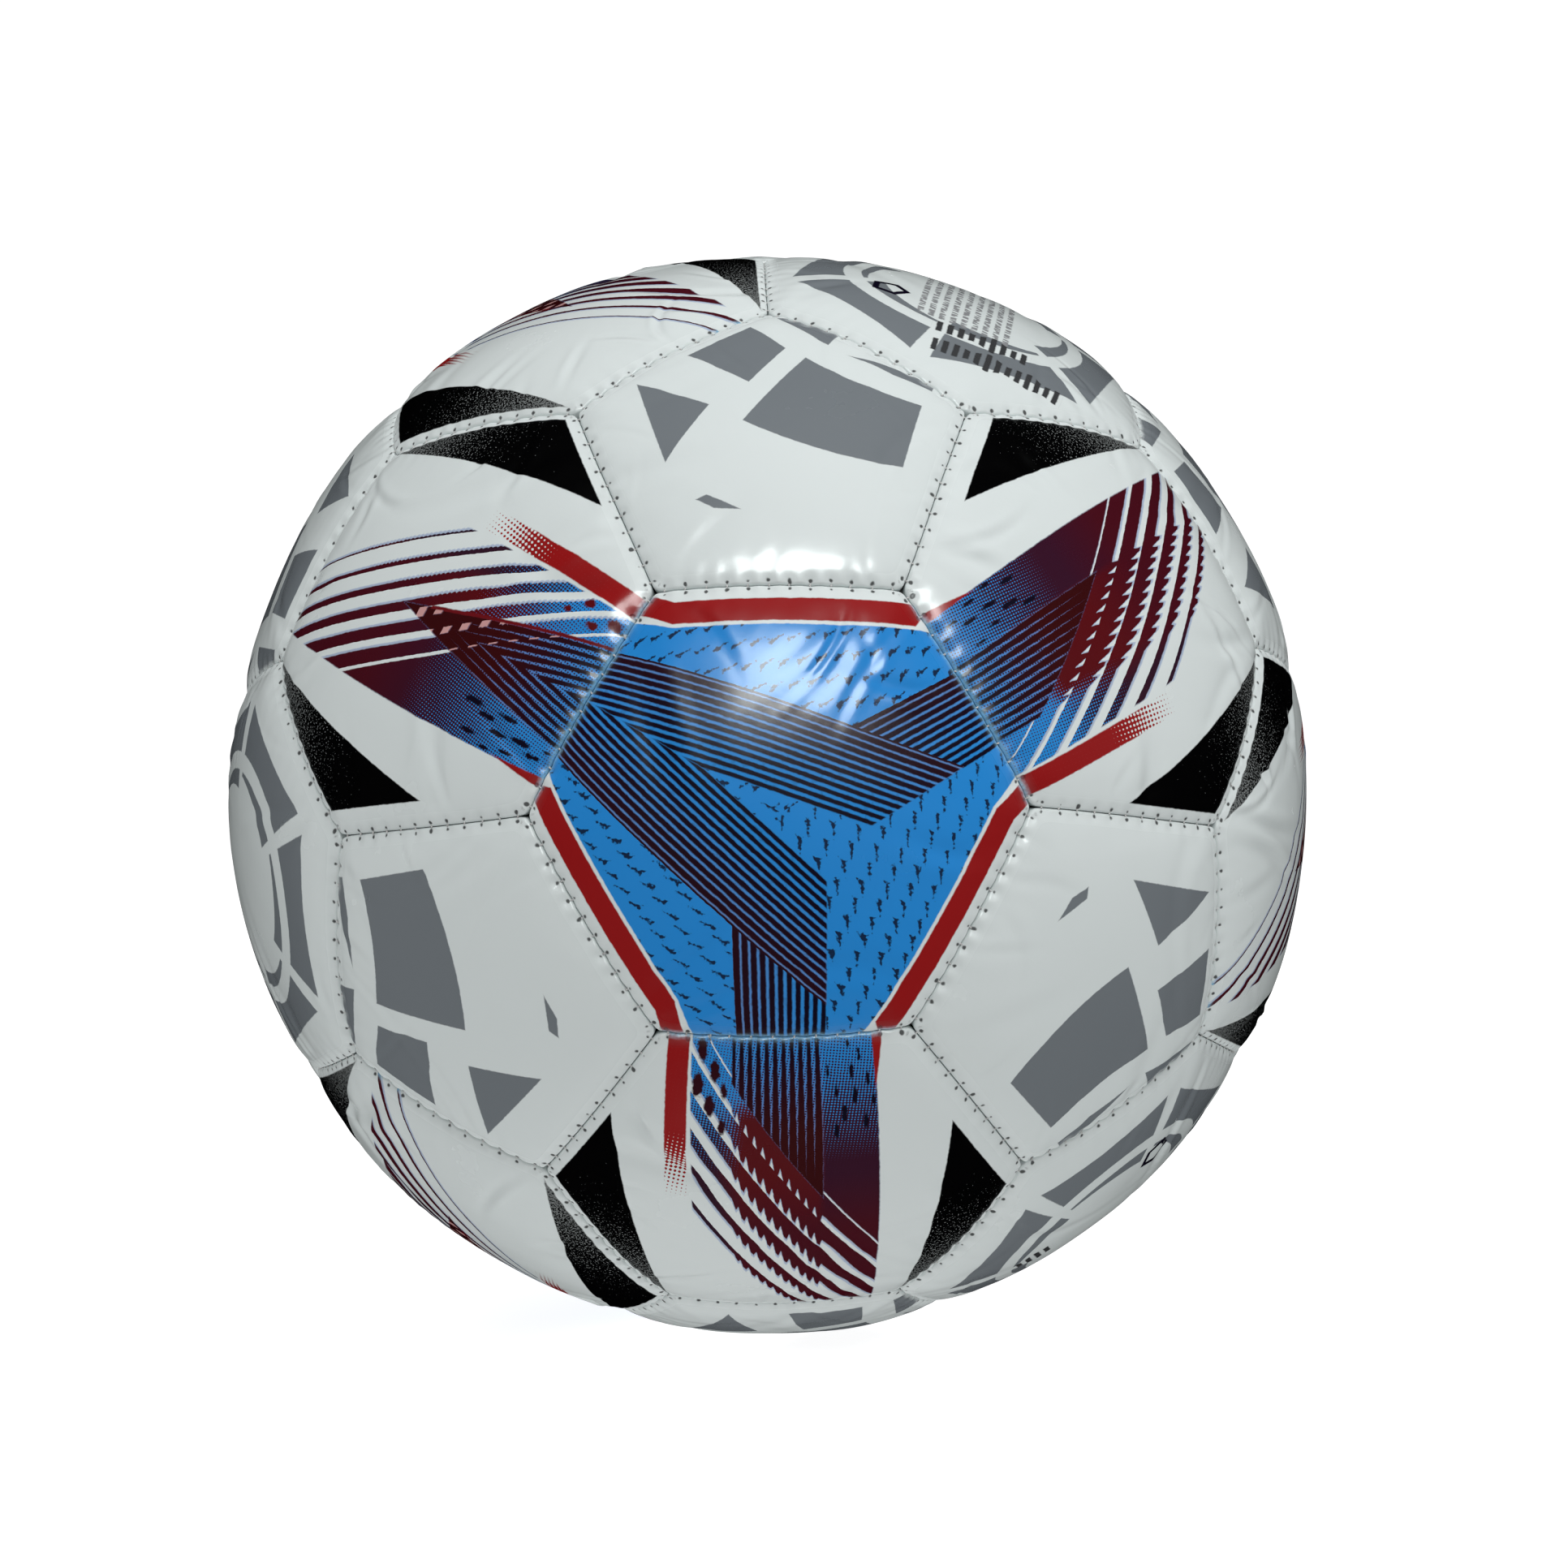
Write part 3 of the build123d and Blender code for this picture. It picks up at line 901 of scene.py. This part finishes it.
def emblem_print(art, turn=0.0, rows=(), block=False):
    """Two broken grey rings on white, and in some a plain pentagon and rows of short bars.

    turn is how far the breaks in the rings are turned, in degrees. Each row is its height, left
    end and right end.
    """
    art.ink = WHITE
    x = art.along(math.cos(EMBLEM_LEAN), -math.sin(EMBLEM_LEAN), 0)
    y = art.along(math.sin(EMBLEM_LEAN), math.cos(EMBLEM_LEAN), 0)
    point = art.pair(x, y, 1)
    radius = art.length(art.vector("MULTIPLY", point, (1, 1, 0)))
    sector = art.scaled(art.math("ARCTAN2", y, x), 3 / math.pi, -(20 + turn) / 60)
    aside = art.from_whole(sector)
    gap = art.times(art.minus(aside, 0.055), radius)
    slant = art.scaled(aside, -math.pi / 3, math.pi / 6)
    straight = art.times(radius, art.math("COSINE", slant))
    outer = art.least(art.minus(radius, 0.53), art.minus(0.675, straight), gap)
    thick = art.scaled(art.math("FRACT", sector), 0.07, 0.37)
    inner = art.least(art.minus(radius, thick), art.minus(0.455, radius), gap)
    art.paint(GREY, art.mask(art.most(outer, inner)))
    if not rows:
        return
    turns = np.arange(5) * 2 * math.pi / 5
    corners = [(-0.32 + 0.085 * math.cos(t), -0.20 + 0.085 * math.sin(t)) for t in turns]
    around = art.math("ABSOLUTE", art.minus(art.shape(*corners, point=point), 0.012))
    art.paint(NAVY, art.mask(art.minus(0.013, around)))
    rule = art.mask(art.minus(0.28, art.from_whole(art.times(x, 1 / 0.045))), 0.12)
    tall = art.noise(art.vector("MULTIPLY", point, (1, 0, 0)), 11, 0)
    if block:
        broken_rules(art, point, rule)
    for middle, start, end in rows:
        off = art.math("ABSOLUTE", art.along(-0.10, 1, -middle, point))
        row = art.minus(art.times(tall, 0.10), off)
        row = art.least(row, art.minus(x, start), art.minus(end, x))
        art.paint(BAR_GREY, art.times(art.mask(row, BAND_BLUR), rule))


def broken_rules(art, point, rule):
    """A block of thin grey rules with gaps in them."""
    dashed = art.ramp(art.noise(art.vector("MULTIPLY", point, (1, 2.2, 0)), 22, 1), 0.42, 0.50)
    block = art.mask(art.shape((-0.20, -0.40), (0.20, -0.40), (0.20, 0.30), (-0.20, 0.30), point=point))
    art.paint(RULE_GREY, art.times(art.times(block, dashed), rule))


def cover_material(name, draw, options):
    """Glossy coated cover leather with its print, needle holes painted dark as shade and a little dirt in
    the seams.
    """
    art = Print(name)
    draw(art, **options)
    seam = art.node("ShaderNodeUVMap", uv_map="Seam").outputs["UV"]
    split = art.node("ShaderNodeSeparateXYZ")
    art.put(seam, split.inputs[0])
    number, distance = split.outputs[0], split.outputs[1]
    beside = art.times(art.minus(0.5, art.from_whole(number)), 3.7)
    uneven = art.noise(art.plain, 30, 1)
    inward = art.minus(distance, art.scaled(uneven, 0.7, 0.35))
    reach = art.math("SQRT", art.plus(art.times(beside, beside), art.times(inward, inward)))
    size = art.scaled(art.noise(art.plain, 23, 1), 0.75, -0.10)
    hole = art.ramp(art.minus(reach, size), 0.12, -0.10)
    channels = art.node("ShaderNodeSeparateColor")
    art.put(art.ink, channels.inputs[0])
    pale = art.ramp(channels.outputs[0], 0.10, 0.60)
    grime = art.noise(art.plain, 9, 4)
    # Next to the seams the ink turns paler: in patches within about a millimetre, and evenly down in the
    # groove.
    patchy = art.ramp(art.noise(art.plain, 75, 3), 0.35, 0.65)
    edge = art.times(art.ramp(distance, 1.0, 0.3), art.scaled(patchy, 0.40, 0.25))
    edge = art.plus(edge, art.times(art.ramp(distance, 0.5, 0.1), 0.40), clamp=True)
    soil = art.times(art.ramp(distance, 2.0, 0.1), art.times(grime, 0.14))
    ink = art.blend(edge, art.ink, art.blend(pale, art.seam_colour, WHITE))
    ink = art.blend(soil, ink, DIRT)
    # The needle holes are painted near-black on pale ink: painted shade, as the mesh has no holes for shade
    # to fall in.
    ink = art.blend(art.times(hole, art.times(pale, 0.90)), ink, HOLE_SHADE)
    art.use(ink, "Base Color")
    smudge = art.noise(art.where, 38, 5)
    rough = art.scaled(smudge, 0.16, 0.17)
    scuff = art.ramp(art.noise(art.where, 160, 6), 0.55, 0.80)
    rough = art.scaled(scuff, 0.015, rough)
    rough = art.scaled(art.ramp(distance, 2.6, 0.6), 0.22, rough)
    rough = art.most(rough, art.times(hole, 0.7))
    art.use(rough, "Roughness")
    art.use(0.35, "Coat Weight")
    art.use(0.12, "Coat Roughness")
    peel = art.noise(art.where, 1300, 2)
    soft = art.noise(art.where, 130, 2)
    height = art.scaled(peel, 0.10, art.times(soft, 0.16))
    height = art.scaled(hole, -1.4, height)
    art.bump(height, 0.55, 0.00022)
    return art.material


def plain_material(name, dark, light, rough, scale, height):
    """One mottled colour, uneven roughness and a grain that high in metres."""
    art = Nodes(name)
    mottle = art.noise(art.where, scale / 8, 5)
    art.use(art.blend(art.ramp(mottle, 0.3, 0.7), dark, light), "Base Color")
    grain = art.noise(art.where, scale, 3)
    art.use(art.scaled(grain, 0.2, rough - 0.1), "Roughness")
    art.bump(grain, 0.6, height)
    return art.material


def woven_material(name, dark, light, spacing):
    """Cloth with crossing yarns, that far apart in metres."""
    art = Nodes(name)
    k = 2 * math.pi / spacing
    warp_way = art.math("SINE", art.vector("DOT_PRODUCT", art.where, (k, 0.3 * k, 0)))
    weft_way = art.math("SINE", art.vector("DOT_PRODUCT", art.where, (-0.3 * k, 0.4 * k, k)))
    weave = art.times(warp_way, weft_way)
    share = art.scaled(weave, 0.5, 0.5, clamp=True)
    art.use(art.blend(share, dark, light), "Base Color")
    art.use(art.scaled(share, -0.15, 0.92), "Roughness")
    art.bump(weave, 0.7, 0.0002)
    return art.material


# ---- the ball ----
BODY = list(frame["bodies"])[0]
MANY_RULES = ((-0.465, -0.12, 0.30), (-0.635, -0.10, 0.48))  # height, left end, right end
FEW_RULES = ((-0.16, 0.24, 0.42),)
LOOKS = {
    "star": (star_print, {}),
    "arm": (arm_print, {}),
    "merging_arm": (arm_print, {"merging": True}),
    "spotted_arm": (arm_print, {"spotted": True}),
    "sparse_arm": (arm_print, {"merging": True, "missing": 1.15}),
    "pentagon": (pentagon_print, {}),
    "emblem": (emblem_print, {"rows": MANY_RULES, "block": True}),
    "turned_emblem": (emblem_print, {"turn": 25, "rows": FEW_RULES}),
    "plain_emblem": (emblem_print, {"turn": 25}),
}
PRINTS = {look: cover_material(look + "_cover", draw, options) for look, (draw, options) in LOOKS.items()}
BACKING = woven_material("cover_backing", (0.50, 0.49, 0.46), (0.66, 0.65, 0.62), 0.0009)
# How deep the folds are in each kind of panel.
RUMPLE = {"star": 0.9, "arm": 1.4, "pentagon": 0.5, "emblem": 0.7}


def highest(choices):
    return choices[np.argmax(choices[:, 2])]


def star_axes(star):
    """A star's up is to a pentagon: upwards in front, else such that its forked arm is in front."""
    around = nearest(star, PENTAGONS, 3)
    if star[1] < -0.99:
        return panel_axes(star, highest(around))
    arms = nearest(star, HEXAGONS, 4)[1:]
    front_arm = arms[np.argmin(arms[:, 1])]
    for pentagon in around:
        axes = panel_axes(star, pentagon)
        across, up, _ = axes @ front_arm
        if across < -0.1 and up > 0:
            return axes
    return panel_axes(star, highest(around))


def arm_look(star, centre):
    """Which print an arm has, by its place beside its star."""
    across, up, _ = star_axes(star) @ centre
    if across < -0.1 and up > 0:
        return "merging_arm" if star[1] < -0.99 else "sparse_arm"
    return "spotted_arm" if up < 0 else "arm"


def emblem_look(centre):
    """Full marks at the top right, none at the left, and the pentagon and one row elsewhere."""
    if centre[2] > 0.5:
        return "emblem"
    return "turned_emblem" if centre[0] > -0.5 else "plain_emblem"


def make_panels():
    """Every cover panel with its own print, and the foam behind the hexagons and the pentagons."""
    stars = {n: nearest(node_direction(f"star_panel_{n}"), HEXAGONS)[0] for n in range(1, 5)}
    places = {6: [], 5: []}
    for seed, name in enumerate(sorted(n for n in frame["nodes"] if "_panel_" in n)):
        kind, _, tail = name.partition("_panel_")
        star = stars[int(tail[0])]
        sides = 5 if kind == "pentagon" else 6
        centre = nearest(node_direction(name), PENTAGONS if sides == 5 else HEXAGONS)[0]
        look = kind
        if kind == "star":
            axes = star_axes(centre)
        elif kind == "emblem":
            around = nearest(centre, PENTAGONS, 3)
            axes = panel_axes(centre, around[np.argmax(around[:, 1])])
            look = emblem_look(centre)
        else:
            axes = panel_axes(centre, -star)
            if kind == "arm":
                look = arm_look(star, centre)
        hole = STEM_HOLE if centre[1] > 0.99 else 0.0
        places[sides].append((SHAPES[sides], axes, hole))
        panel = build_panel(name + "_skin", SHAPES[sides], axes, 100 + seed, RUMPLE[kind], hole)
        panel.data.materials.append(PRINTS[look])
        panel.data.materials.append(BACKING)
        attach(panel, BODY)
        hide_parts(name)
    foam = plain_material("foam_pads", (0.55, 0.55, 0.50), (0.72, 0.71, 0.66), 0.9, 2400, 0.0003)
    for sides, node in ((6, "hexagon_foam_pads"), (5, "pentagon_foam_pads")):
        pads = build_pads(node + "_pressed", places[sides])
        pads.data.materials.append(foam)
        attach(pads, BODY)
        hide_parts(node)


make_panels()
THREAD = woven_material("sewing_thread", (0.62, 0.62, 0.62), (0.86, 0.86, 0.84), 0.0004)
for node, seams, seed in zip(("thread_between_hexagons", "thread_around_pentagons"), all_seams(), (1, 2)):
    stitches = build_stitches(node + "_stitches", seams, seed)
    stitches.data.materials.append(THREAD)
    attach(stitches, BODY)
    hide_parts(node)

INSIDE = (
    (woven_material("cloth_lining", (0.52, 0.50, 0.46), (0.72, 0.70, 0.66), 0.0008),
     ("hexagon_linings", "pentagon_linings")),
    (plain_material("bladder_rubber", (0.012,) * 3, (0.030,) * 3, 0.55, 500, 0.0001), ("bladder",)),
    (plain_material("valve_rubber", (0.020, 0.020, 0.021), (0.045, 0.045, 0.046), 0.5, 900, 0.00008),
     ("valve_patch", "valve_housing")),
    (plain_material("valve_core_rubber", (0.05,) * 3, (0.10,) * 3, 0.45, 900, 0.00008), ("valve_core",)),
)
for material, nodes in INSIDE:
    for node in nodes:
        mesh = frame["nodes"][node].data
        mesh.materials.clear()
        mesh.materials.append(material)


# ---- floor, light and camera ----
def make_floor():
    """A pale sheet that lies flat under the ball and curves up all round, far from it."""
    ground = -0.1105
    sides = 96
    reach = np.linspace(0.05, 4.2, 60)
    height = ground + 3.5 * np.clip((reach - 2.4) / 1.8, 0, 1) ** 2
    turn = np.arange(sides) * 2 * math.pi / sides
    circle = np.stack([np.cos(turn), np.sin(turn)], 1)
    rings = [np.concatenate([circle * r, np.full((sides, 1), h)], 1) for r, h in zip(reach, height)]
    points = np.concatenate(rings) / MM
    faces = [tuple(range(sides))]
    for k in range(len(reach) - 1):
        faces += ring_quads((k + 1) * sides, k * sides, sides)
    floor = finish_mesh("studio_floor", points, faces)
    paper = plain_material("studio_paper", (0.34, 0.34, 0.34), (0.36, 0.36, 0.36), 0.9, 60, 0.0002)
    shader = paper.node_tree.nodes["Principled BSDF"]
    shader.inputs["Emission Color"].default_value = (1, 1, 1, 1)
    shader.inputs["Emission Strength"].default_value = 0.90
    floor.data.materials.append(paper)
    floor.visible_glossy = False
    floor.visible_diffuse = False
    floor.visible_shadow = False


def area_light(name, azimuth, elevation, distance, size, power, shine=True, fill=True):
    """A soft box aimed at the ball's centre. Azimuth 0 is in front, and 90 is to the right."""
    a, e = math.radians(azimuth), math.radians(elevation)
    way = Vector((math.sin(a) * math.cos(e), -math.cos(a) * math.cos(e), math.sin(e)))
    data = bpy.data.lights.new(name, "AREA")
    data.shape = "RECTANGLE"
    data.size, data.size_y = size
    data.energy = power
    data.color = (0.93, 1.0, 0.99) if shine else (1, 1, 1)
    lamp = bpy.data.objects.new(name, data)
    lamp.location = way * distance
    lamp.rotation_euler = way.to_track_quat("Z", "Y").to_euler()
    lamp.visible_glossy = shine
    lamp.visible_diffuse = fill
    SCENE.collection.objects.link(lamp)


make_floor()
area_light("front_box", 4.5, 26.5, 1.3, (0.53, 0.40), 8.6, fill=False)
area_light("front_fill", 10, 34, 1.5, (0.80, 0.60), 4.4, shine=False)
area_light("top_box", 20, 66, 1.8, (1.4, 1.2), 13.5, shine=False)
area_light("back_box", 180, 50, 1.8, (1.6, 1.2), 9, shine=False)
area_light("right_box", 75, 12, 1.8, (0.9, 1.2), 4, shine=False)
area_light("left_box", -95, -14, 1.8, (0.9, 1.2), 5.5, shine=False)
area_light("under_box", 0, -78, 1.8, (1.6, 1.4), 9, shine=False)
area_light("rear_under_box", 180, -60, 1.8, (1.4, 1.2), 13, shine=False)
world = bpy.data.worlds.new("studio")
SCENE.world = world
world.use_nodes = True
background = world.node_tree.nodes["Background"]
background.inputs["Color"].default_value = (1, 1, 1, 1)
background.inputs["Strength"].default_value = 0.40
world.cycles_visibility.glossy = False
SCENE.view_settings.view_transform = "Standard"


def make_camera():
    """Nearly level and straight on, a little above the ball's middle."""
    data = bpy.data.cameras.new("camera")
    data.lens = 66.2
    data.shift_x = 0.0091
    data.shift_y = 0.0059
    back = Vector((-0.0197, -1, 0.0303)).normalized()
    up = Vector((0.0158, 0.0303, 1))
    up = (up - back * up.dot(back)).normalized()
    camera = bpy.data.objects.new("camera", data)
    turn = Matrix((up.cross(back), up, back)).transposed().to_4x4()
    camera.matrix_world = Matrix.Translation(back * 0.5976) @ turn
    SCENE.collection.objects.link(camera)
    SCENE.camera = camera


make_camera()
